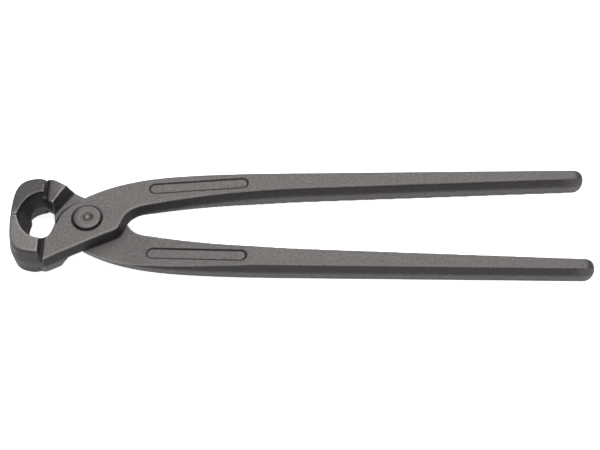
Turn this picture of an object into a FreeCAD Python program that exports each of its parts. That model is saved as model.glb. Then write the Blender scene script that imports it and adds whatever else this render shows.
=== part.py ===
import FreeCAD, Part
import math
import os
import Sketcher

# Steel fixer's end-cutting nippers, nominal 250 mm: two equal forgings and one rivet.
# Frame of the tool: handles along +X, jaws at -X, rivet axis along +Z, base at Z = 0.
# Frame of one forging: rivet axis at the origin, lap plane at Z = 0, outer face at +Z,
# handle on the +Y side and jaw on the -Y side.

SIZES = {
    # Overall
    "handle_reach": 216.8,       # rivet axis to handle tip
    "jaw_reach": 33.6,           # rivet axis to front of the jaws
    "plate_half": 5.2,           # lap plane to outer face, joint and handle
    "jaw_half": 8.4,             # lap plane to side of the jaw
    # Draft: how far the forging's parting outline stands outside the face outline
    "joint_draft": 2.4,
    "crotch_draft": 1.5,
    "handle_draft": 0.6,
    "jaw_draft": 1.0,
    "jaw_rear_draft": 1.3,
    # Throat side of the face outline, control points from neck to handle
    "root_x": -16.9, "root_y": -9.7,
    "cheek_x": -15.6, "cheek_y": -9.0,
    "lip_x": -13.8, "lip_y": -4.0,
    "brow_x": -12.2, "brow_y": 3.6,
    "temple_x": -5.7, "temple_y": 8.0,
    "rise_x": -1.8, "rise_y": 10.9,
    "crown_x": 14.8, "crown_y": 20.4,
    "back_x": 47.5, "back_y": 23.9,
    "stem_x": 72.0, "stem_y": 24.4,
    "tail_y": 26.2,
    # Crotch side of the face outline, control points from neck to handle
    "nape_x": -16.9, "nape_y": -20.6,
    "collar_x": -11.1, "collar_y": -18.0,
    "bib_x": -8.4, "bib_y": -17.0,
    "chin_x": 10.2, "chin_y": -6.5,
    "heel_x": 14.7, "heel_y": -5.8,
    "crotch_x": 16.0, "crotch_y": 5.1,
    "thigh_x": 44.0, "thigh_y": 11.25,
    "calf_x": 66.0, "calf_y": 14.75,
    "ankle_y": 21.1,
    "grip_round": 4.2,           # length of the rounded handle end
    "grip_set_back": 1.7,        # outer face stops this far short of the end
    # Jaw outline, distances from the centre plane are positive
    "jaw_front_y": 8.0,
    "jaw_bend_x": -31.7, "jaw_bend_y": 16.0,
    "jaw_cheek_x": -26.4, "jaw_cheek_y": 19.4,
    "jaw_rear_x": -19.1, "jaw_rear_y": 19.4,
    "cutting_land": 2.3,
    "cavity_front_x": -28.6, "cavity_front_y": 5.8,
    "cavity_bend_x": -26.0, "cavity_bend_y": 12.0,
    "cavity_rear_y": 12.2,
    # Ridge where the bowls sunk from both sides meet: the throat's narrowest outline
    "ridge_rear_y": 9.0,
    "ridge_bend_x": -25.0, "ridge_bend_y": 11.0,
    "ridge_front_x": -25.8, "ridge_front_y": 5.5,
    "ridge_land_x": -24.0,
    # Groove between jaw and shoulder
    "groove_x": -18.2, "groove_depth": 0.9,
    "groove_rise": 1.3,          # run from its floor up to the outer face
    "groove_sweep": 6.9,         # the same on the lap side, as a long hollow
    # Half-lap recess
    "wall_foot": 15.4,           # rivet axis to the foot of the stop wall
    "wall_lean": 3.0,            # how far the wall leans back over the plate height
    "ramp_start": 18.0,
    "ramp_end": 78.0,
    "ramp_dip_x": 25.0, "ramp_dip": 1.35,      # foot of the first drop behind the seat
    "ramp_foot_x": 70.0, "ramp_foot": 0.25,    # end of the straight run, above the base
    # Stamped panels on the handle
    "panel_x": 47.6, "panel_y": 17.4,          # middle of the panel
    "panel_span": 37.9,          # between the centres of its round ends
    "panel_width": 5.3, "panel_depth": 0.5,
    "panel_turn": 4.7,           # degrees off the long axis
    # Rivet
    "shank_radius": 5.0, "bore_gap": 0.05,
    "head_radius": 6.4, "head_height": 1.2, "head_rim": 0.55,
    "dimple_radius": 2.6, "dimple_depth": 0.4,
    # Fits and edges
    "lap_gap": 0.08, "head_gap": 0.04, "jaw_gap": 0.08,
    "edge_round": 0.8,
}

MARGIN = 5.0      # how far cutting profiles run past the metal

doc = FreeCAD.newDocument("nippers")
dims = doc.addObject("Spreadsheet::Sheet", "dims")
for row, (alias, number) in enumerate(SIZES.items(), start=1):
    dims.set("A%d" % row, alias)
    dims.set("B%d" % row, str(number))
    dims.setAlias("B%d" % row, alias)
doc.recompute()


# A length is a sum of factor * size terms, so that one form gives both the
# number for the first drawing and the expression that binds it to the sheet.
def length(*terms):
    total = {}
    for factor, alias in terms:
        total[alias] = total.get(alias, 0.0) + factor
    return total


def add(first, second, scale=1.0):
    both = [(f, a) for a, f in first.items()]
    both += [(scale * f, a) for a, f in second.items()]
    return length(*both)


def number_of(form):
    return sum(f * (SIZES[a] if a else 1.0) for a, f in form.items())


def text_of(form):
    parts = ["%.6f * dims.%s" % (f, a) if a else "%.6f" % f for a, f in form.items()]
    return " + ".join(parts) if parts else "0"


def size(alias, factor=1.0):
    return length((factor, alias))


def plain(value):
    return length((value, ""))


def between(first, second, share):
    """Point on the straight line between two points: keeps joined curves tangent."""
    return tuple(
        length(*[((1 - share) * f, a) for a, f in p.items()], *[(share * f, a) for a, f in q.items()])
        for p, q in zip(first, second)
    )


def plane_of(body, role):
    return next(o for o in body.Origin.OriginFeatures if o.Role == role)


def sketch_on(body, name, role="XY_Plane", height=None, offset=None):
    sketch = body.newObject("Sketcher::SketchObject", name)
    sketch.AttachmentSupport = (plane_of(body, role), "")
    sketch.MapMode = "FlatFace"
    if offset:
        sketch.AttachmentOffset = offset
    if height:
        sketch.setExpression("AttachmentOffset.Base.z", text_of(height))
    return sketch


def pin(sketch, geometry, end, where, name):
    """Hold one point of the sketch at its place by two named dimensions."""
    for kind, form, axis in (("DistanceX", where[0], "x"), ("DistanceY", where[1], "y")):
        index = sketch.addConstraint(
            Sketcher.Constraint(kind, -1, 1, geometry, end, number_of(form)))
        label = "%s_%s" % (name, axis)
        sketch.renameConstraint(index, label)
        sketch.setExpression("Constraints." + label, text_of(form))


def draw(sketch, chain):
    """Draw a closed chain of lines (two points) and B-splines (more points)."""
    for part_index, poles in enumerate(chain):
        spots = [FreeCAD.Vector(number_of(x), number_of(y), 0) for x, y in poles]
        if len(poles) == 2:
            line = sketch.addGeometry(Part.LineSegment(*spots), False)
            pin(sketch, line, 1, poles[0], "line%da" % part_index)
            pin(sketch, line, 2, poles[1], "line%db" % part_index)
            continue
        first = sketch.GeometryCount
        for spot in spots:
            circle = Part.Circle(spot, FreeCAD.Vector(0, 0, 1), 1.0)
            pole = sketch.addGeometry(circle, True)
            sketch.addConstraint(Sketcher.Constraint("Weight", pole, 1.0))
        degree = min(3, len(poles) - 1)
        curve = Part.BSplineCurve(spots, None, None, False, degree, None, False)
        spline = sketch.addGeometry(curve, False)
        sketch.addConstraint([
            Sketcher.Constraint(
                "InternalAlignment:Sketcher::BSplineControlPoint", first + i, 3, spline, i)
            for i in range(len(poles))])
        for i, pole in enumerate(poles):
            pin(sketch, first + i, 3, pole, "curve%d_%d" % (part_index, i))


def cut_through(body, sketch, name):
    pocket = body.newObject("PartDesign::Pocket", name)
    pocket.Profile = sketch
    pocket.Type = "Length"
    pocket.SideType = "Symmetric"
    pocket.Length = 200.0
    return pocket


def loft(body, kind, name, sketches):
    feature = body.newObject("PartDesign::" + kind, name)
    feature.Profile = sketches[0]
    feature.Sections = sketches[1:]
    feature.Ruled = True
    return feature


def level_with(edge, height, both=False):
    """True for an edge that lies wholly in the plane at this height (or at +/- it)."""
    box = edge.BoundBox
    heights = (height, -height) if both else (height,)
    return any(abs(box.ZMin - z) < 0.001 and abs(box.ZMax - z) < 0.001 for z in heights)


def blend(body, name, base, wanted):
    fillet = body.newObject("PartDesign::Fillet", name)
    edges = base.Shape.Edges
    fillet.Base = (base, ["Edge%d" % (i + 1) for i, e in enumerate(edges) if wanted(e)])
    fillet.setExpression("Radius", "dims.edge_round")
    return fillet


# ---------------------------------------------------------------- arm outlines

def drafted(name, out_x, out_y, draft, level):
    """Control point of the face outline (level 0) or the parting outline (level 1)."""
    x, y = size(name + "_x"), size(name + "_y")
    if level:
        x = add(x, size(draft, out_x))
        y = add(y, size(draft, out_y))
    return (x, y)


def arm_outline(level):
    """Closed outline of joint plate and handle, from the neck round the handle end."""
    throat = [drafted(n, u, v, "joint_draft", level) for n, u, v in (
        ("root", 0.2, 0.9), ("cheek", 0.0, 0.9), ("lip", -0.45, 0.2),
        ("brow", -0.9, 0.6), ("temple", -0.55, 0.85), ("rise", -0.5, 0.87))]
    crown = drafted("crown", -0.25, 0.7, "joint_draft", level)
    back = drafted("back", 0.0, 1.4, "handle_draft", level)
    stem = drafted("stem", 0.0, 1.1, "handle_draft", level)
    crotch = [drafted(n, u, v, "crotch_draft", level) for n, u, v in (
        ("nape", -0.2, -0.6), ("collar", -0.3, -0.95), ("bib", -0.4, -0.9),
        ("chin", -0.3, -1.0), ("heel", 1.0, -0.9), ("crotch", 0.75, -0.6))]
    thigh = drafted("thigh", 0.3, -1.6, "handle_draft", level)
    calf = drafted("calf", 0.2, -1.1, "handle_draft", level)
    grow = "handle_draft"
    end_x = add(size("handle_reach"), size("grip_round"), -1.0)
    tail_out = (end_x, size("tail_y"))
    tail_in = (end_x, size("ankle_y"))
    reach = add(size("grip_round", 4.0 / 3.0), size("grip_set_back", -4.0 / 3.0))
    if level:
        tail_out = (tail_out[0], add(tail_out[1], size(grow)))
        tail_in = (tail_in[0], add(tail_in[1], size(grow, -1.0)))
        reach = size("grip_round", 4.0 / 3.0)
    hip = between(throat[-1], crown, 0.13)
    wrist = between(stem, tail_out, 0.17)
    knee = between(crotch[-1], thigh, 0.32)
    shin = between(calf, tail_in, 0.2)
    neck_x = add(size("jaw_rear_x"), plain(-2.0))
    neck_top = (neck_x, add(size("root_y"), plain(-1.8 if level else -1.1)))
    neck_low = (neck_x, add(size("nape_y"), plain(0.9)))
    cap = add(end_x, reach)
    cap_top = (cap, add(size("tail_y", 0.9), size("ankle_y", 0.1)))
    cap_low = (cap, add(size("tail_y", 0.1), size("ankle_y", 0.9)))
    return [
        [neck_top, throat[0]],
        throat + [hip],
        [hip, crown, back, stem, wrist],
        [wrist, tail_out],
        [tail_out, cap_top, cap_low, tail_in],
        [tail_in, shin],
        [shin, calf, thigh, knee],
        [knee] + crotch[::-1],
        [crotch[0], neck_low],
        [neck_low, neck_top],
    ]


def jaw_outline(level):
    """Closed outline of one jaw; level 1 is the parting outline, with the ridge inside."""
    out = size("jaw_draft", level)
    edge = size("jaw_gap", -0.5)
    rear_x = add(size("jaw_rear_x"), size("jaw_rear_draft", level))

    def outer(x, y, ux, uy):
        return (add(size(x), out, ux), add(size(y, -1.0), out, uy))

    front = add(size("jaw_reach", -1.0), size("jaw_draft", 1.0 - level))
    tip = (front, edge)
    front_run = (add(front, plain(0.1)), size("jaw_front_y", -1.0))
    bend = outer("jaw_bend_x", "jaw_bend_y", -0.9, -0.6)
    cheek = outer("jaw_cheek_x", "jaw_cheek_y", -0.5, -0.9)
    rear = (rear_x, add(size("jaw_rear_y", -1.0), out, -1.0))
    inner = "ridge" if level else "cavity"
    rear_in = (rear_x, size(inner + "_rear_y", -1.0))
    in_bend = (size(inner + "_bend_x"), size(inner + "_bend_y", -1.0))
    in_front = (size(inner + "_front_x"), size(inner + "_front_y", -1.0))
    face_land = add(add(size("jaw_reach", -1.0), size("jaw_draft")), size("cutting_land"))
    land = (size("ridge_land_x") if level else face_land, edge)
    return [
        [tip, front_run, bend, cheek, rear],
        [rear, rear_in],
        [rear_in, in_bend, in_front, land],
        [land, tip],
    ]


def build_arm(label):
    body = doc.addObject("PartDesign::Body", label)
    body.Label = label

    def levels(name, outline, half):
        sketches = []
        for tag, level, factor in (("Low", 0, -1.0), ("Parting", 1, 0.0), ("Top", 0, 1.0)):
            height = size(half, factor) if factor else None
            sketch = sketch_on(body, name + tag, height=height)
            draw(sketch, outline(level))
            sketches.append(sketch)
        return sketches

    loft(body, "AdditiveLoft", "ArmForging", levels("Arm", arm_outline, "plate_half"))
    loft(body, "AdditiveLoft", "JawForging", levels("Jaw", jaw_outline, "jaw_half"))

    # Groove between jaw and shoulder: short on the outer face, swept on the lap side
    left = add(size("groove_x"), plain(-1.0))
    floor_x = size("groove_x")
    for tag, side, run in (("Outer", 1.0, "groove_rise"), ("Lap", -1.0, "groove_sweep")):
        floor_z = add(size("plate_half", side), size("groove_depth", -side))
        wall_z = add(floor_z, plain(1.9 * side))
        face_z = add(size("plate_half", side), plain(0.1 * side))
        open_z = add(size("jaw_half", side), plain(1.0 * side))
        end_x = add(floor_x, size(run))
        rise = [(floor_x, floor_z), (end_x, face_z)]
        if side < 0:
            rise[1:1] = [(add(floor_x, size(run, 0.2)), add(floor_z, plain(-0.2))),
                         (add(floor_x, size(run, 0.6)), face_z)]
        groove = sketch_on(body, "Groove" + tag, "XZ_Plane")
        draw(groove, [[(left, wall_z), rise[0]], rise, [rise[-1], (end_x, open_z)],
                      [(end_x, open_z), (left, open_z)], [(left, open_z), (left, wall_z)]])
        grooved = cut_through(body, groove, "GrooveCut" + tag)
    doc.recompute()
    shoulder = SIZES["groove_x"] + SIZES["groove_rise"] + 0.5
    rounded = blend(body, "ArmEdges", grooved, lambda e: level_with(e, SIZES["plate_half"])
                    and e.BoundBox.XMax > shoulder)
    doc.recompute()
    blend(body, "JawEdges", rounded, lambda e: level_with(e, SIZES["jaw_half"], True)
          and e.BoundBox.YMin < -1.05 * SIZES["cavity_rear_y"])

    # Half-lap recess: flat seat in front of the ramp, leaning stop wall at the jaw side
    seat = size("lap_gap", 0.5)
    along, across = (0.549, -0.836), (-0.836, -0.549)

    def wall_point(distance, run):
        return (add(length(*[(f * across[0], a) for a, f in distance.items()]), plain(run * along[0])),
                add(length(*[(f * across[1], a) for a, f in distance.items()]), plain(run * along[1])))

    foot = size("wall_foot")
    lean = add(foot, size("wall_lean"))
    recess = []
    for tag, distance, height in (
            ("Foot", foot, seat), ("Open", lean, add(seat, size("plate_half", -1.0), 1.02))):
        sketch = sketch_on(body, "Recess" + tag, height=height)
        start, stop = wall_point(distance, -55.0), wall_point(distance, 26.0)
        corner_a = (size("ramp_start"), start[1])
        corner_b = (size("ramp_start"), stop[1])
        draw(sketch, [[start, corner_a], [corner_a, corner_b], [corner_b, stop], [stop, start]])
        recess.append(sketch)
    loft(body, "SubtractiveLoft", "LapSeat", recess)

    # Ramp from the seat up to the full section of the handle
    ramp = sketch_on(body, "RampProfile", "XZ_Plane")
    low = add(size("plate_half", -1.0), plain(-MARGIN))
    foot_point = (size("ramp_start"), seat)
    top_point = (size("ramp_end"), size("plate_half", -1.0))
    beyond = (size("ramp_end"), low)
    before = (size("ramp_start"), low)
    dip = (size("ramp_dip_x"), size("ramp_dip", -1.0))
    foot = (size("ramp_foot_x"), add(size("plate_half", -1.0), size("ramp_foot")))
    draw(ramp, [[foot_point, between(dip, foot, -0.08), dip], [dip, foot],
                [foot, between(dip, foot, 1.07), top_point], [top_point, beyond],
                [beyond, before], [before, foot_point]])
    cut_through(body, ramp, "Ramp")

    # Stamped panels: one on the outer face, one on the ramp
    def slot(name, matrix_height, tilt):
        sketch = sketch_on(body, name)
        lay = FreeCAD.Rotation(FreeCAD.Vector(0, 1, 0), tilt)
        turn = FreeCAD.Rotation(FreeCAD.Vector(0, 0, 1), SIZES["panel_turn"])
        sketch.AttachmentOffset = FreeCAD.Placement(FreeCAD.Vector(0, 0, 0), lay.multiply(turn))
        sketch.setExpression("AttachmentOffset.Base.x", "dims.panel_x")
        sketch.setExpression("AttachmentOffset.Base.y", "dims.panel_y")
        sketch.setExpression("AttachmentOffset.Base.z", matrix_height)
        half, radius = SIZES["panel_span"] / 2, SIZES["panel_width"] / 2
        up, quarter = FreeCAD.Vector(0, 0, 1), 1.5707963267948966
        ends = []
        for side in (1, -1):
            centre = FreeCAD.Vector(side * half, 0, 0)
            ring = Part.Circle(centre, up, radius)
            start = -quarter if side > 0 else quarter
            arc = sketch.addGeometry(Part.ArcOfCircle(ring, start, start + 2 * quarter), False)
            ends.append(arc)
        for side in (1, -1):
            line = Part.LineSegment(FreeCAD.Vector(-half, side * radius, 0),
                                    FreeCAD.Vector(half, side * radius, 0))
            ends.append(sketch.addGeometry(line, False))
        right, left, top, low = ends
        sketch.addConstraint([
            Sketcher.Constraint("Tangent", right, 2, top, 2),
            Sketcher.Constraint("Tangent", top, 1, left, 1),
            Sketcher.Constraint("Tangent", left, 2, low, 1),
            Sketcher.Constraint("Tangent", low, 2, right, 1),
            Sketcher.Constraint("Horizontal", top),
            Sketcher.Constraint("Equal", right, left),
            Sketcher.Constraint("Symmetric", left, 3, right, 3, -1, 1)])
        for kind, args, alias in (
                ("Radius", (right, radius), "dims.panel_width / 2"),
                ("DistanceX", (left, 3, right, 3, 2 * half), "dims.panel_span")):
            index = sketch.addConstraint(Sketcher.Constraint(kind, *args))
            sketch.renameConstraint(index, "slot_" + kind)
            sketch.setExpression("Constraints.slot_" + kind, alias)
        return sketch

    fall = math.atan2(SIZES["plate_half"] - SIZES["ramp_foot"] - SIZES["ramp_dip"],
                      SIZES["ramp_foot_x"] - SIZES["ramp_dip_x"])
    drop = ("-dims.ramp_dip - (dims.plate_half - dims.ramp_foot - dims.ramp_dip)"
            " * (dims.panel_x - dims.ramp_dip_x) / (dims.ramp_foot_x - dims.ramp_dip_x)")
    # Both cutters start outside the metal and reach the panel's depth below its face
    for name, height, tilt, reverse in (
            ("FacePanel", "dims.plate_half + dims.edge_round", 0.0, False),
            ("RampPanel", drop + " - dims.edge_round", math.degrees(fall), True)):
        pocket = body.newObject("PartDesign::Pocket", name)
        pocket.Profile = slot(name + "Slot", height, tilt)
        pocket.Type = "Length"
        pocket.Reversed = reverse
        pocket.setExpression("Length", "dims.panel_depth + dims.edge_round")

    # Bore for the rivet
    bore = sketch_on(body, "BoreProfile")
    circle = Part.Circle(FreeCAD.Vector(0, 0, 0), FreeCAD.Vector(0, 0, 1), 5.05)
    hole = bore.addGeometry(circle, False)
    bore.addConstraint(Sketcher.Constraint("Coincident", hole, 3, -1, 1))
    index = bore.addConstraint(Sketcher.Constraint("Radius", hole, 5.05))
    bore.renameConstraint(index, "bore")
    bore.setExpression("Constraints.bore", "dims.shank_radius + dims.bore_gap")
    cut_through(body, bore, "Bore")
    return body


upper = build_arm("upper_arm")
lower = build_arm("lower_arm")
for body, turn in ((upper, 0), (lower, 180)):
    body.Placement = FreeCAD.Placement(
        FreeCAD.Vector(0, 0, 0), FreeCAD.Rotation(FreeCAD.Vector(1, 0, 0), turn))


def build_rivet():
    body = doc.addObject("PartDesign::Body", "rivet")
    body.Label = "rivet"
    profile = sketch_on(body, "RivetProfile", "XZ_Plane")
    shank, head = size("shank_radius"), size("head_radius")
    under = add(size("plate_half"), size("head_gap"))
    crest = add(under, size("head_height"))
    rim = add(crest, size("head_rim"), -1.0)
    axis = plain(0.0)
    floor = add(crest, size("dimple_depth"), -1.0)
    half = [
        (axis, floor), (size("dimple_radius", 0.6), floor), (size("dimple_radius"), crest),
        (size("head_radius", 0.72), crest), (head, rim), (head, under), (shank, under),
    ]
    other = [(x, {a: -f for a, f in z.items()}) for x, z in half[::-1]]
    ring_points = half + other
    chain = [[p, q] for p, q in zip(ring_points, ring_points[1:] + ring_points[:1])]
    draw(profile, chain)
    turned = body.newObject("PartDesign::Revolution", "RivetTurned")
    turned.Profile = profile
    turned.ReferenceAxis = (profile, ["V_Axis"])
    turned.Angle = 360.0
    return body


rivet = build_rivet()
bodies = (upper, lower, rivet)
for body in bodies:
    body.setExpression("Placement.Base.x", "0.5 * (dims.jaw_reach - dims.handle_reach)")
    body.setExpression("Placement.Base.z", "dims.jaw_half")
doc.recompute()

for item in doc.Objects:
    if "Invalid" in item.State or "Error" in item.State:
        raise RuntimeError("%s failed: %s" % (item.Name, item.State))
for body in bodies:
    if body.Shape.isNull() or not body.Shape.isValid():
        raise RuntimeError(body.Label + " has no valid shape")

os.makedirs("parts", exist_ok=True)
for body in bodies:
    body.Shape.exportStep("parts/%s.step" % body.Label)
    print(body.Label, round(body.Shape.Volume, 1), "mm3 in", len(body.Shape.Solids), "solid")
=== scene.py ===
import math

import bmesh
import bpy
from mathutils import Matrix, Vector


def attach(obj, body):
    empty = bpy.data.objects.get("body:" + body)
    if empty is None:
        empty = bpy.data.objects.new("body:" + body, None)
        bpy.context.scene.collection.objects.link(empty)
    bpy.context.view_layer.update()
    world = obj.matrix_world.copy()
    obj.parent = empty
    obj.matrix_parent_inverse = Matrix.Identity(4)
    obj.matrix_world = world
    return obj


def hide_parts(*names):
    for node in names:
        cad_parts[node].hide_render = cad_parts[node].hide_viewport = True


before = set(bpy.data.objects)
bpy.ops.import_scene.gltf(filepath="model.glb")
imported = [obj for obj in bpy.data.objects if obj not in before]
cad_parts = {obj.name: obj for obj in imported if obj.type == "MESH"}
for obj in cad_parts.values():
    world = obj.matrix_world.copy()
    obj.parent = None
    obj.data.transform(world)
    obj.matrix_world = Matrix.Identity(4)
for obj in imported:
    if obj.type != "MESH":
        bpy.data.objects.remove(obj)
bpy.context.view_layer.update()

MM = 0.001
PIVOT = Vector((-0.0916, 0.0, 0.0084))     # where the rivet's axis crosses the lap plane

# ------------------------------------------------------------------ where the finishes, painted shade and painted light lie
# Lengths along the tool are from the rivet's axis and heights are from the lap plane.

PANEL_X = 47.6 * MM                 # middle of the panel stamped in each handle
PANEL_Y = 17.4 * MM
PANEL_HALF = 18.95 * MM             # half the length of its straight sides
PANEL_RADIUS = 2.65 * MM
PANEL_TURN = math.radians(4.7)
PANEL_SHADE_INSET = 0.12 * MM        # its painted shade line runs this far inside its outline

RIVET_HEAD_RADIUS = 6.4 * MM
DIMPLE_RADIUS = 1.4 * MM

# Bands: low, high, and how far they fade out beyond each.
SLOT_X = (-19.6 * MM, -17.5 * MM, 0.3 * MM)     # the slots beside the throat
SLOT_Z = (3.4 * MM, 4.95 * MM, 0.25 * MM)
JAW_RIM_Z = (7.1 * MM, 7.7 * MM, 0.3 * MM)
JAW_RIM_FACING = (-0.6, 0.6, 0.15)
WALL_FACING = (-0.45, 0.45, 0.2)

# Ranges over which one state passes into the next.
JAW_TO_PLATE_X = (-19.5 * MM, -16.0 * MM)
HANDLE_WEAR_AND_HIGHLIGHT_X = (20.0 * MM, 60.0 * MM)
HANDLE_END_X = (206.0 * MM, 212.0 * MM)
UPPER_WALL_Z = (-0.9 * MM, 1.4 * MM)
LOWER_WALL_Z = (-1.4 * MM, 0.9 * MM)
JAW_TOP_Z = (7.2 * MM, 8.0 * MM)
FAR_JAW_Y = (0.0, 4.0 * MM)
NEAR_JAW_Y = (-4.0 * MM, 0.0)

# How strongly painted shade darkens, and painted light pales, each place.
PAINTED_SHADE_SHARE = {"slot": 0.9, "jaw_rim": 0.75, "lapped_edge": 0.85, "far_jaw_top": 0.5,
              "jaw_wall": 0.25, "plate_wall": 0.58, "handle_end": 0.2}
PAINTED_LIGHT_SHARE = {"jaw_wall": 0.12, "plate_wall": 0.4, "near_jaw_top": 0.22}
HANDLE_WEAR_AND_HIGHLIGHT = 0.25                  # the handles' edge wear and painted edge highlight, as a share of the joint's

# painted shade: the colour laid into creases, corners, gaps, slots and shaded faces
PAINTED_SHADE = (0.012, 0.011, 0.011, 1.0)
PAINTED_LIGHT_LIFT = 2.3                    # how many times paler the painted light makes a surface
PATCH_TINT = 0.6                    # of the dark colour
SPECK_TINT = 1.55                   # of the light colour
WORN_AND_HIGHLIGHT_TINT = 2.0                     # of the light colour

# Layers: the driving value's range, and the layer's strength at the two ends of it.
MOTTLE = (0.3, 0.72, 0.0, 1.0)
PATCHES = (0.35, 0.7, 0.0, 0.1)
SPECKS = (0.54, 0.68, 0.0, 0.6)
# worn edges are partly real wear and partly a painted highlight; creases, panel line, head and dimple
# lines and corners are painted shade
WORN_EDGES_AND_HIGHLIGHT = (0.508, 0.535, 0.0, 0.65)
CREASE_SHADE = (0.455, 0.49, 0.72, 0.0)
PANEL_SHADE_LINE = (0.18 * MM, 0.6 * MM, 0.92, 0.0)
HEAD_SHADOW_LINE = (0.35 * MM, 0.8 * MM, 0.92, 0.0)
DIMPLE_SHADE_LINE = (0.1 * MM, 0.5 * MM, 0.2, 0.0)
CORNER_SHADE = (0.2, 0.62, 0.8, 0.0)
CORNER_SHADE_REACH = 1.6 * MM             # how near a facing surface brings painted shade into a corner

WORN_POLISH = 0.2                   # how much smoother a worn edge is
GRIT_HEIGHT = 0.5                   # beside the mottle's height of 1
BUMP_STRENGTH = 0.6
BUMP_HEIGHT = 0.2 * MM

# ------------------------------------------------------------------ node helpers


class Tree:
    """A new material's node tree, with short calls for the nodes used here."""

    def __init__(self, name):
        self.material = bpy.data.materials.new(name)
        self.material.use_nodes = True
        self.tree = self.material.node_tree
        self.tree.nodes.clear()

    def add(self, kind, **values):
        """A new node; each value sets a property of that name, or else an input."""
        node = self.tree.nodes.new(kind)
        for key, value in values.items():
            if hasattr(node, key):
                setattr(node, key, value)
            else:
                node.inputs[key].default_value = value
        return node

    def link(self, source, target):
        self.tree.links.new(source, target)

    def fill(self, socket, value):
        """Give a socket a constant, or link another node's output to it."""
        if isinstance(value, (int, float, tuple)):
            socket.default_value = value
        else:
            self.link(value, socket)

    def split(self, output):
        """The X, Y and Z outputs of Object coordinates or of the object's own normals."""
        place = self.add("ShaderNodeTexCoord")
        node = self.add("ShaderNodeSeparateXYZ")
        self.link(place.outputs[output], node.inputs["Vector"])
        return node.outputs

    def from_pivot(self):
        """Where a point is, from the rivet's axis and the lap plane."""
        x, y, z = self.split("Object")
        return self.minus(x, PIVOT.x), y, self.minus(z, PIVOT.z)

    def noise(self, scale, detail, roughness, stretch=(1, 1, 1)):
        """Fractal noise through the piece; a larger scale is finer."""
        place = self.add("ShaderNodeTexCoord")
        mapping = self.add("ShaderNodeMapping")
        mapping.inputs["Scale"].default_value = stretch
        self.link(place.outputs["Object"], mapping.inputs["Vector"])
        node = self.add("ShaderNodeTexNoise", Scale=scale, Detail=detail, Roughness=roughness)
        self.link(mapping.outputs["Vector"], node.inputs["Vector"])
        return node.outputs["Fac"]

    def remap(self, source, low, high, to_low, to_high):
        """Turn the range low to high into to_low to to_high, and hold it there beyond."""
        node = self.add("ShaderNodeMapRange")
        for key, value in (("From Min", low), ("From Max", high),
                           ("To Min", to_low), ("To Max", to_high)):
            node.inputs[key].default_value = value
        self.link(source, node.inputs["Value"])
        return node.outputs["Result"]

    def math(self, operation, first, second=0.0):
        node = self.add("ShaderNodeMath", operation=operation)
        self.fill(node.inputs[0], first)
        self.fill(node.inputs[1], second)
        return node.outputs[0]

    def plus(self, first, second):
        return self.math("ADD", first, second)

    def minus(self, first, second):
        return self.math("SUBTRACT", first, second)

    def times(self, first, second):
        return self.math("MULTIPLY", first, second)

    def larger(self, first, second):
        return self.math("MAXIMUM", first, second)

    def absolute(self, value):
        return self.math("ABSOLUTE", value)

    def distance(self, across, along):
        """The straight distance that two lengths at right angles make."""
        squares = self.plus(self.times(across, across), self.times(along, along))
        return self.math("POWER", squares, 0.5)

    def within(self, value, low, high, blur):
        """1 where a value lies between two limits, fading out over the blur beyond each."""
        above = self.remap(value, low - blur, low, 0.0, 1.0)
        below = self.remap(value, high, high + blur, 1.0, 0.0)
        return self.times(above, below)

    def mix(self, factor, first, second):
        """Blend two colours: the first where the factor is 0, the second where it is 1."""
        node = self.add("ShaderNodeMix", data_type="RGBA")
        self.link(factor, node.inputs[0])
        self.fill(node.inputs[6], first)
        self.fill(node.inputs[7], second)
        return node.outputs[2]


# ------------------------------------------------------------------ phosphated steel


def tinted(colour, factor):
    """A paler or darker colour of the same hue."""
    return tuple(min(1.0, factor * part) for part in colour[:3]) + (1.0,)


def panel_border(t):
    """Distance in plan from the line of painted shade just inside the stamped panel, on either arm.
    """
    x, y, _ = t.from_pivot()
    x = t.minus(x, PANEL_X)
    y = t.minus(t.absolute(y), PANEL_Y)
    cos, sin = math.cos(PANEL_TURN), math.sin(PANEL_TURN)
    along = t.plus(t.times(x, cos), t.times(y, sin))
    across = t.minus(t.times(y, cos), t.times(x, sin))
    past_end = t.larger(t.minus(t.absolute(along), PANEL_HALF), 0.0)
    reach = t.distance(past_end, across)
    return t.absolute(t.minus(reach, PANEL_RADIUS - PANEL_SHADE_INSET))


def ring_border(t, radius):
    """Distance in plan from a circle round the rivet's axis, such as the gap round its head."""
    x, y, _ = t.from_pivot()
    return t.absolute(t.minus(t.distance(x, y), radius))


def jaw_to_plate(t, x, shares):
    """The jaw walls' share on the jaws, and the plate walls' share from the joint on."""
    return t.remap(x, *JAW_TO_PLATE_X, shares["jaw_wall"], shares["plate_wall"])


def painted_shade_zones(t):
    """Painted shade in the throat slots, under the jaws' top edges, along the lapped edge, on the
    upper walls and on the far jaw's top.
    """
    x, y, z = t.from_pivot()
    facing = t.split("Normal")["Z"]
    slot = t.times(t.within(x, *SLOT_X), t.within(t.absolute(z), *SLOT_Z))
    rim = t.times(t.within(facing, *JAW_RIM_FACING), t.within(z, *JAW_RIM_Z))
    lapped = t.add("ShaderNodeAttribute", attribute_name="lapped_edge").outputs["Fac"]
    far_top = t.times(t.remap(z, *JAW_TOP_Z, 0.0, 1.0), t.remap(y, *FAR_JAW_Y, 0.0, 1.0))
    zones = t.times(t.within(facing, *WALL_FACING), t.remap(z, *UPPER_WALL_Z, 0.0, 1.0))
    zones = t.times(zones, t.remap(x, *HANDLE_END_X, 1.0, PAINTED_SHADE_SHARE["handle_end"]))
    zones = t.times(zones, jaw_to_plate(t, x, PAINTED_SHADE_SHARE))
    for place, zone in (("slot", slot), ("jaw_rim", rim), ("lapped_edge", lapped),
                        ("far_jaw_top", far_top)):
        zones = t.larger(zones, t.times(zone, PAINTED_SHADE_SHARE[place]))
    return zones


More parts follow.
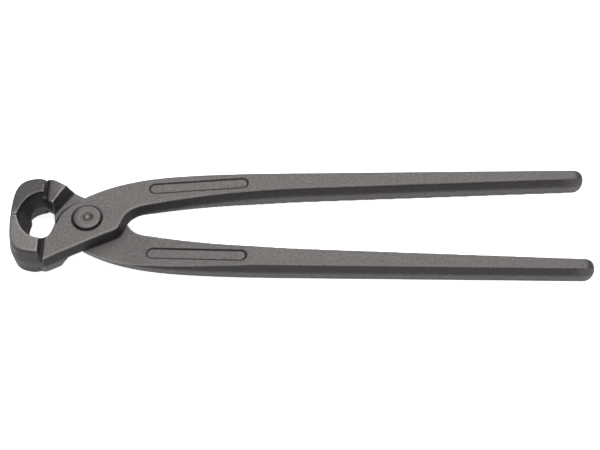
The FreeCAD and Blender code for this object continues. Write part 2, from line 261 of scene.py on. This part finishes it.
def painted_light_zones(t):
    """Painted light on the walls below the lap plane, as a painted reflection of the floor, and on
    the near jaw's top.
    """
    x, y, z = t.from_pivot()
    facing = t.split("Normal")["Z"]
    wall = t.times(t.within(facing, *WALL_FACING), t.remap(z, *LOWER_WALL_Z, 1.0, 0.0))
    wall = t.times(wall, jaw_to_plate(t, x, PAINTED_LIGHT_SHARE))
    near_top = t.times(t.remap(z, *JAW_TOP_Z, 0.0, 1.0), t.remap(y, *NEAR_JAW_Y, 1.0, 0.0))
    return t.larger(wall, t.times(near_top, PAINTED_LIGHT_SHARE["near_jaw_top"]))


def mottled_scale(t, dark, light, mottle, grit):
    """The steel's own colour: fine mottle, broad darker patches and pale specks."""
    colour = t.mix(t.remap(mottle, *MOTTLE), dark, light)
    patches = t.noise(scale=48.0, detail=3.0, roughness=0.55, stretch=(0.5, 1, 1))
    colour = t.mix(t.remap(patches, *PATCHES), colour, tinted(dark, PATCH_TINT))
    return t.mix(t.remap(grit, *SPECKS), colour, tinted(light, SPECK_TINT))


def painted_light_and_shade(t, colour):
    """Painted shade and painted light on an arm."""
    # painted shade along the stamped panel's border
    colour = t.mix(t.remap(panel_border(t), *PANEL_SHADE_LINE), colour, PAINTED_SHADE)
    # painted light: paler lower walls and near jaw top
    paler = t.add("ShaderNodeVectorMath", operation="SCALE", Scale=PAINTED_LIGHT_LIFT)
    t.link(colour, paler.inputs[0])
    colour = t.mix(painted_light_zones(t), colour, paler.outputs[0])
    # painted shade in the slots, under the jaws' tops, along the lapped edge, on the upper walls and
    # the far jaw's top
    return t.mix(painted_shade_zones(t), colour, PAINTED_SHADE)


def phosphated_steel(name, dark, light, rough, grain, forging):
    """Dark phosphated steel: mottled scale, fine grit, pale proud edges that are partly wear and
    partly a painted highlight, and painted shade in creases and corners.
    """
    t = Tree(name)
    mottle = t.noise(scale=950.0, detail=5.0, roughness=0.66)
    grit = t.noise(scale=2300.0, detail=2.0, roughness=0.7)
    colour = mottled_scale(t, dark, light, mottle, grit)

    edge = t.add("ShaderNodeNewGeometry").outputs["Pointiness"]
    # pale proud edges: partly real wear, partly a painted highlight
    worn_and_highlight = t.remap(edge, *WORN_EDGES_AND_HIGHLIGHT)
    if forging:
        x = t.from_pivot()[0]
        worn_and_highlight = t.times(worn_and_highlight, t.remap(x, *HANDLE_WEAR_AND_HIGHLIGHT_X, 1.0, HANDLE_WEAR_AND_HIGHLIGHT))
    colour = t.mix(worn_and_highlight, colour, tinted(light, WORN_AND_HIGHLIGHT_TINT))
    # painted shade in the creases
    colour = t.mix(t.remap(edge, *CREASE_SHADE), colour, PAINTED_SHADE)

    if forging:
        colour = painted_light_and_shade(t, colour)
    else:
        # painted shade round the rivet head's dimple
        colour = t.mix(t.remap(ring_border(t, DIMPLE_RADIUS), *DIMPLE_SHADE_LINE), colour, PAINTED_SHADE)
    # painted shadow in the gap round the rivet head
    colour = t.mix(t.remap(ring_border(t, RIVET_HEAD_RADIUS), *HEAD_SHADOW_LINE), colour, PAINTED_SHADE)
    # painted shade in corners, from ambient occlusion
    corner_shade = t.add("ShaderNodeAmbientOcclusion", samples=12, Distance=CORNER_SHADE_REACH)
    colour = t.mix(t.remap(corner_shade.outputs["AO"], *CORNER_SHADE), colour, PAINTED_SHADE)

    shader = t.add("ShaderNodeBsdfPrincipled", Metallic=0.75)
    t.link(colour, shader.inputs["Base Color"])
    matt = t.remap(mottle, 0.3, 0.7, *rough)
    t.link(t.minus(matt, t.times(worn_and_highlight, WORN_POLISH)), shader.inputs["Roughness"])
    bump = t.add("ShaderNodeBump", Strength=BUMP_STRENGTH * grain, Distance=BUMP_HEIGHT)
    t.link(t.plus(t.times(grit, GRIT_HEIGHT), mottle), bump.inputs["Height"])
    t.link(bump.outputs["Normal"], shader.inputs["Normal"])
    out = t.add("ShaderNodeOutputMaterial")
    t.link(shader.outputs["BSDF"], out.inputs["Surface"])
    return t.material


FORGED = phosphated_steel("forged_phosphated_steel",
                          dark=(0.06, 0.0563, 0.0545, 1), light=(0.13, 0.1225, 0.1185, 1),
                          rough=(0.42, 0.56), grain=1.0, forging=True)
PEENED = phosphated_steel("peened_rivet_steel",
                          dark=(0.052, 0.0487, 0.0471, 1), light=(0.11, 0.1037, 0.1003, 1),
                          rough=(0.36, 0.5), grain=0.7, forging=False)

# ------------------------------------------------------------------ the two arms
# From here on, lengths along the tool are in mm from the rivet's axis and heights are in mm
# from the lap plane, with the lower arm read turned over so that both arms read alike.

RAMP_FROM, RAMP_TO = 12.0, 30.0     # the stretch that is eased
DROP_FROM, DROP_TO = 18.0, 25.0     # the short ramp of the solid
SEAT = 0.04                         # the lap face's height, half the clearance
DROP_BEND = -1.06                   # height of the ramp curve's middle control point
DROP_FOOT = -1.35                   # the ramp's height where the handle begins
HANDLE_SLOPE = -0.08                # of the handle's lap side from there on
PLATE_TOP = 5.2

LAPPED_EDGE = [(-13.2, -2.3), (-12.3, 0.7), (-10.9, 3.2), (-9.2, 5.3),
               (-6.7, 7.6), (-4.2, 8.8), (-2.3, 10.1)]
LAPPED_HALF_WIDTH = (0.45, 0.9)     # full painted shade up to the first, none from the second on
LAPPED_START_Y = (-4.5, -2.0)
LAPPED_END_X = (-6.0, -2.0)
LAPPED_LEAST_Z = 3.8

NECK_FILL = 0.9                     # the most that the neck's outer wall is carried out
NECK_START_X = (-19.1, -18.6)
NECK_END_X = (-17.5, -9.0)
NECK_OUT = (12.0, 19.0)             # from the tool's centre line
NECK_FACE_Z = (5.0, 6.4)

CORNER_DROP = 0.8                   # the most that the jaw's rear corner is rounded down
CORNER_X = (-22.0, -19.4)
CORNER_OUT = (14.0, 19.0)
CORNER_DEPTH = (5.2, 8.0)
JAW_END_X = -19.0

HANDLE_TIP = 216.8
NOSE = 4.6                          # length of the handle's rounded end
NOSE_RINGS = 14
NOSE_FULLNESS = 0.8                 # below 1 the end is blunter than half a ball
NOSE_LEAST = 0.02                   # the last ring's share of the handle's section

SKIN_GRID = 0.36 * MM
RELAX_PASSES = 3
WELD = 0.001 * MM                   # points nearer than this are one


def smooth_step(low, high, value):
    """0 up to low, 1 from high on, and a smooth rise between them."""
    t = min(1.0, max(0.0, (value - low) / (high - low)))
    return t * t * (3 - 2 * t)


def own_place(vert, side):
    """A point in mm from the pivot, read on the lower arm as if that arm were turned over."""
    x = (vert.co.x - PIVOT.x) / MM
    y = side * vert.co.y / MM
    z = side * (vert.co.z - PIVOT.z) / MM
    return x, y, z


def ramp_height(x):
    """Height of the solid's ramp from plate to handle."""
    if x <= DROP_FROM:
        return SEAT
    if x >= DROP_TO:
        return DROP_FOOT + HANDLE_SLOPE * (x - DROP_TO)
    t = (x - DROP_FROM) / (DROP_TO - DROP_FROM)
    return SEAT * (1 - t) ** 2 + DROP_BEND * 2 * t * (1 - t) + DROP_FOOT * t * t


def eased_height(x):
    """The same ramp with its drop drawn out into one smooth curve."""
    if not RAMP_FROM < x < RAMP_TO:
        return ramp_height(x)
    span = RAMP_TO - RAMP_FROM
    t = (x - RAMP_FROM) / span
    drop = ramp_height(RAMP_TO) - SEAT
    return SEAT + drop * (3 * t * t - 2 * t ** 3) + HANDLE_SLOPE * span * (t ** 3 - t * t)


def ease_ramp(shell, side):
    """Shift the lap side onto the eased ramp, fading out towards the outer face."""
    for vert in shell.verts:
        x, _, z = own_place(vert, side)
        if not RAMP_FROM < x < RAMP_TO:
            continue
        share = min(1.0, max(0.0, (PLATE_TOP - z) / (PLATE_TOP - ramp_height(x))))
        vert.co.z += side * share * (eased_height(x) - ramp_height(x)) * MM


def fill_neck(shell, side):
    """Carry the neck's outer wall out to the jaw's, so that the forging runs on smoothly."""
    for vert in shell.verts:
        x, y, z = own_place(vert, side)
        share = smooth_step(*NECK_START_X, x) * (1 - smooth_step(*NECK_END_X, x))
        share *= smooth_step(*NECK_OUT, -y) * (1 - smooth_step(*NECK_FACE_Z, abs(z)))
        vert.co.y -= side * NECK_FILL * share * MM


def soften_rear_corner(shell, side):
    """Round the jaw's rear corner down towards the slot, on the lap side."""
    for vert in shell.verts:
        x, y, z = own_place(vert, side)
        if x > JAW_END_X:
            continue
        share = smooth_step(*CORNER_OUT, abs(y))
        share *= smooth_step(*CORNER_X, x) * smooth_step(*CORNER_DEPTH, -z)
        vert.co.z += side * CORNER_DROP * share * MM


def round_nose(shell):
    """Replace the handle's end by a bullnose grown from its section."""
    cut = PIVOT.x + (HANDLE_TIP - NOSE) * MM
    everything = shell.verts[:] + shell.edges[:] + shell.faces[:]
    bmesh.ops.bisect_plane(shell, geom=everything, plane_co=(cut, 0, 0), plane_no=(1, 0, 0),
                           clear_outer=True)
    rim = [edge for edge in shell.edges if edge.is_boundary]
    section = {vert for edge in rim for vert in edge.verts}
    ys = [vert.co.y for vert in section]
    zs = [vert.co.z for vert in section]
    middle = Vector((cut, (min(ys) + max(ys)) / 2, (min(zs) + max(zs)) / 2))
    start = {vert: vert.co.copy() for vert in section}
    for ring in range(1, NOSE_RINGS + 1):
        lean = math.pi / 2 * ring / NOSE_RINGS
        scale = max(NOSE_LEAST, math.cos(lean) ** NOSE_FULLNESS)
        grown = bmesh.ops.extrude_edge_only(shell, edges=rim)["geom"]
        rim = [part for part in grown if isinstance(part, bmesh.types.BMEdge) and part.is_boundary]
        grown_from = {}
        for vert in grown:
            if not isinstance(vert, bmesh.types.BMVert):
                continue
            twins = (edge.other_vert(vert) for edge in vert.link_edges)
            grown_from[vert] = start[next(twin for twin in twins if twin in start)]
        for vert, origin in grown_from.items():
            vert.co = middle + (origin - middle) * scale
            vert.co.x = cut + NOSE * MM * math.sin(lean)
        start = grown_from
    bmesh.ops.contextual_create(shell, geom=rim)


def mark_lapped_edge_shade(mesh, side):
    """Painted shade along the plate's edge where it slides over the other arm's seat."""
    marks = mesh.attributes.new("lapped_edge", "FLOAT", "POINT")
    runs = [(Vector(a), Vector(b)) for a, b in zip(LAPPED_EDGE, LAPPED_EDGE[1:])]
    for vert in mesh.vertices:
        x, y, z = own_place(vert, side)
        ends = smooth_step(*LAPPED_START_Y, y) * (1 - smooth_step(*LAPPED_END_X, x))
        if z < LAPPED_LEAST_Z or ends == 0.0:
            continue
        spot = Vector((x, y))
        gaps = []
        for a, b in runs:
            along = min(1.0, max(0.0, (spot - a).dot(b - a) / (b - a).length_squared))
            gaps.append((spot - a.lerp(b, along)).length)
        marks.data[vert.index].value = ends * (1 - smooth_step(*LAPPED_HALF_WIDTH, min(gaps)))


def fine_skin(piece):
    """An even fine mesh over the piece, with its sharp edges relaxed."""
    skin = piece.modifiers.new("skin", "REMESH")
    skin.mode = "VOXEL"
    skin.voxel_size = SKIN_GRID
    skin.use_smooth_shade = True
    relax = piece.modifiers.new("relax", "SMOOTH")
    relax.factor = 0.5
    relax.iterations = RELAX_PASSES
    finished = bpy.data.meshes.new_from_object(
        piece.evaluated_get(bpy.context.evaluated_depsgraph_get()))
    piece.modifiers.clear()
    piece.data = finished
    return finished


def dressed_arm(node, name, body, side):
    """Soft-edged forging made from the arm's solid; side is 1 for the upper arm, -1 for the lower."""
    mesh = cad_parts[node].data.copy()
    piece = bpy.data.objects.new(name, mesh)
    bpy.context.collection.objects.link(piece)
    shell = bmesh.new()
    shell.from_mesh(mesh)
    bmesh.ops.remove_doubles(shell, verts=shell.verts, dist=WELD)
    round_nose(shell)
    shell.to_mesh(mesh)
    shell.free()
    finished = fine_skin(piece)
    shell = bmesh.new()
    shell.from_mesh(finished)
    ease_ramp(shell, side)
    fill_neck(shell, side)
    soften_rear_corner(shell, side)
    shell.to_mesh(finished)
    shell.free()
    mark_lapped_edge_shade(finished, side)
    finished.materials.clear()
    finished.materials.append(FORGED)
    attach(piece, body)
    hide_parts(node)


dressed_arm("lower_arm", "lower_forging", "fixed_arm", -1.0)
dressed_arm("upper_arm", "upper_forging", "moving_arm", 1.0)

# ------------------------------------------------------------------ the rivet

# One peened head as (radius, height) in mm: dimple with a small nub, low dome, rolled rim.
RIVET_HEAD = [(0.0, 6.26), (0.6, 6.24), (0.95, 6.14), (1.2, 5.96), (1.5, 5.86), (1.8, 5.9),
              (2.15, 6.04), (2.55, 6.25), (2.95, 6.37), (3.6, 6.42), (4.4, 6.38), (5.1, 6.27),
              (5.7, 6.1), (6.1, 5.92), (6.35, 5.72), (6.4, 5.56), (6.3, 5.42), (6.0, 5.3)]
RIVET_SHANK = [(5.0, 5.26), (5.0, -5.26)]
RIVET_SEGMENTS = 96


def turned_piece(name, profile):
    """Closed turned piece about the rivet's axis from (radius, height) points in mm."""
    mesh = bpy.data.meshes.new(name)
    shell = bmesh.new()
    rings = []
    for radius, height in profile:
        if radius == 0.0:
            rings.append([shell.verts.new(PIVOT + Vector((0, 0, height * MM)))])
            continue
        ring = []
        for i in range(RIVET_SEGMENTS):
            turn = 2 * math.pi * i / RIVET_SEGMENTS
            ring.append(shell.verts.new(PIVOT + Vector((
                radius * MM * math.cos(turn), radius * MM * math.sin(turn), height * MM))))
        rings.append(ring)
    for first, second in zip(rings, rings[1:]):
        for i in range(RIVET_SEGMENTS):
            j = (i + 1) % RIVET_SEGMENTS
            corners = [first[i % len(first)], first[j % len(first)],
                       second[j % len(second)], second[i % len(second)]]
            # at the axis two corners are one point, so the face is a triangle
            shell.faces.new(list(dict.fromkeys(corners)))
    bmesh.ops.recalc_face_normals(shell, faces=shell.faces)
    shell.to_mesh(mesh)
    shell.free()
    for polygon in mesh.polygons:
        polygon.use_smooth = True
    piece = bpy.data.objects.new(name, mesh)
    bpy.context.collection.objects.link(piece)
    return piece


lower_head = [(radius, -height) for radius, height in reversed(RIVET_HEAD)]
rivet = turned_piece("rivet_peened", RIVET_HEAD + RIVET_SHANK + lower_head)
rivet.data.materials.append(PEENED)
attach(rivet, "fixed_arm")
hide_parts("rivet")

# ------------------------------------------------------------------ floor, lights, camera

FLOOR_HALF = 3.0
FLOOR_COLOUR = (0.8, 0.8, 0.8, 1)
FLOOR_GLOW = 0.85                   # as the camera sees it, so that the floor looks white
FLOOR_MIRRORED = 0.3                # the share of that glow which the steel reflects
FLOOR_DROP = 0.2 * MM               # keeps the floor clear of the jaws' undersides

LIGHTS = (
    {"name": "overhead", "place": (0.0, 0.25, 1.1), "width": 1.2, "depth": 0.7, "watts": 10.4},
    {"name": "back", "place": (0.0, 1.1, 0.75), "width": 1.4, "depth": 0.5, "watts": 8.5},
    {"name": "front_strip", "place": (0.1, -0.8, 0.62), "width": 1.6, "depth": 0.12, "watts": 3.4},
)

WORLD_COLOUR = (0.75, 0.76, 0.78, 1)
WORLD_FADE = (("From Min", 0.0), ("From Max", 0.9), ("To Min", 0.03), ("To Max", 0.4))

ELEVATION = math.radians(54.5)
REACH = 0.6765
SENSOR_WIDTH = 36.0
FOCAL_LENGTH = 93.6
TARGET = Vector((0.0002, 0.0, 0.0084))


def white_floor():
    """A pale floor that keeps the tool's shadow and looks white to the camera."""
    t = Tree("pale_floor")
    path = t.add("ShaderNodeLightPath")
    mirrored = t.larger(path.outputs["Is Glossy Ray"], path.outputs["Is Transmission Ray"])
    seen = t.larger(path.outputs["Is Camera Ray"], t.times(mirrored, FLOOR_MIRRORED))
    diffuse = t.add("ShaderNodeBsdfDiffuse", Color=FLOOR_COLOUR)
    glow = t.add("ShaderNodeEmission")
    t.link(t.times(seen, FLOOR_GLOW), glow.inputs["Strength"])
    both = t.add("ShaderNodeAddShader")
    t.link(diffuse.outputs[0], both.inputs[0])
    t.link(glow.outputs[0], both.inputs[1])
    out = t.add("ShaderNodeOutputMaterial")
    t.link(both.outputs[0], out.inputs["Surface"])
    mesh = bpy.data.meshes.new("floor")
    corners = [(-FLOOR_HALF, -FLOOR_HALF, 0), (FLOOR_HALF, -FLOOR_HALF, 0),
               (FLOOR_HALF, FLOOR_HALF, 0), (-FLOOR_HALF, FLOOR_HALF, 0)]
    mesh.from_pydata(corners, [], [(0, 1, 2, 3)])
    floor = bpy.data.objects.new("floor", mesh)
    floor.location.z = -FLOOR_DROP
    mesh.materials.append(t.material)
    bpy.context.collection.objects.link(floor)


def aim(item, place, target):
    """Put a lamp or the camera at a place, looking at the target."""
    item.location = place
    item.rotation_euler = (target - place).to_track_quat("-Z", "Y").to_euler()
    bpy.context.collection.objects.link(item)


def soft_light(name, place, width, depth, watts):
    """A rectangular lamp over the middle of the floor."""
    data = bpy.data.lights.new(name, "AREA")
    data.shape = "RECTANGLE"
    data.size = width
    data.size_y = depth
    data.energy = watts
    aim(bpy.data.objects.new(name, data), Vector(place), Vector((0, 0, 0)))


def studio_world():
    """Soft studio surround: pale overhead, dim towards the horizon."""
    world = bpy.data.worlds.new("studio")
    world.use_nodes = True
    tree = world.node_tree
    background = tree.nodes["Background"]
    background.inputs["Color"].default_value = WORLD_COLOUR
    place = tree.nodes.new("ShaderNodeTexCoord")
    split = tree.nodes.new("ShaderNodeSeparateXYZ")
    fade = tree.nodes.new("ShaderNodeMapRange")
    fade.interpolation_type = "SMOOTHSTEP"
    for key, value in WORLD_FADE:
        fade.inputs[key].default_value = value
    tree.links.new(place.outputs["Generated"], split.inputs["Vector"])
    tree.links.new(split.outputs["Z"], fade.inputs["Value"])
    tree.links.new(fade.outputs["Result"], background.inputs["Strength"])
    bpy.context.scene.world = world


def studio_camera():
    """A long lens from in front and above, on the middle of the tool."""
    data = bpy.data.cameras.new("camera")
    data.sensor_width = SENSOR_WIDTH
    data.lens = FOCAL_LENGTH
    camera = bpy.data.objects.new("camera", data)
    direction = Vector((0.0, -math.cos(ELEVATION), math.sin(ELEVATION)))
    aim(camera, TARGET + REACH * direction, TARGET)
    bpy.context.scene.camera = camera


white_floor()
for light in LIGHTS:
    soft_light(**light)
studio_world()
studio_camera()
bpy.context.scene.view_settings.view_transform = "Standard"
